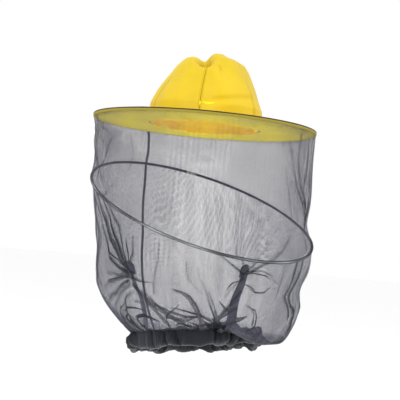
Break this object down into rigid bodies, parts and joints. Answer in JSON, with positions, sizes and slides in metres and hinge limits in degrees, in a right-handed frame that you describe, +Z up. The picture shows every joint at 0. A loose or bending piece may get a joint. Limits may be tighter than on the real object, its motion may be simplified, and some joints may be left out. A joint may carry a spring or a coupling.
{
  "type": "beekeeping veil",
  "caption": "Sun hat with a soft crown and flat sprung brim, hung with a net veil held open by a steel hoop and closed by an elastic hem.",
  "frame": {"origin": "centre of the head opening, on the middle plane of the brim", "axes": "+Z up the hat's axis through the crown, +X across the brim to the side where the veil hangs lowest, +Y to the far side, where the veil's back seam is"},
  "size_m": [0.3938, 0.38, 0.5154],
  "materials": {
    "crown_cloth": "satin",
    "brim_cloth": "matte",
    "sweatband_cloth": "matte",
    "interlining": "matte",
    "spring_steel": "satin",
    "ferrule_metal": "satin",
    "dark_tape": "matte",
    "veil_net": "matte",
    "hem_cloth": "matte",
    "elastic_tape": "matte"
  },
  "bodies": {
    "hat": {"crown_panel_front_right": "crown_cloth", "crown_panel_right": "crown_cloth", "crown_panel_back_right": "crown_cloth", "crown_panel_back_left": "crown_cloth", "crown_panel_left": "crown_cloth", "crown_panel_front_left": "crown_cloth", "sweatband": "sweatband_cloth", "brim_upper_cloth": "brim_cloth", "brim_lower_cloth": "brim_cloth", "brim_interlining": "interlining", "brim_edge_wire": "spring_steel", "brim_wire_ferrule": "ferrule_metal", "brim_binding_tape": "dark_tape"},
    "veil": {"net_top": "veil_net", "back_seam_top": "dark_tape"},
    "hoop": {"net_middle": "veil_net", "back_seam_middle": "dark_tape", "hoop_wire": "spring_steel", "hoop_ferrule": "ferrule_metal", "hoop_casing": "dark_tape"},
    "hem": {"net_lower": "veil_net", "back_seam_lower": "dark_tape", "hem_casing": "hem_cloth", "hem_elastic": "elastic_tape", "strap_left": "elastic_tape", "strap_right": "elastic_tape", "strap_patch_left": "hem_cloth", "strap_patch_right": "hem_cloth"}
  },
  "joints": [
    {"name": "veil_lift", "type": "slide", "parent": "hat", "child": "veil", "axis": [0, 0, 1], "range_m": [0, 0.032], "deforming": ["net_top", "back_seam_top"]},
    {"name": "hoop_tilt", "type": "hinge", "parent": "veil", "child": "hoop", "pos_m": [-0.0995, 0.1446, -0.0643], "axis": [-0.7987, -0.6018, 0], "range_deg": [0, 12], "deforming": ["net_middle", "back_seam_middle"]},
    {"name": "hem_lift", "type": "slide", "parent": "hoop", "child": "hem", "axis": [0, 0, 1], "range_m": [0, 0.066], "deforming": ["net_lower", "back_seam_lower", "strap_left", "strap_right", "strap_patch_left", "strap_patch_right"]}
  ]
}
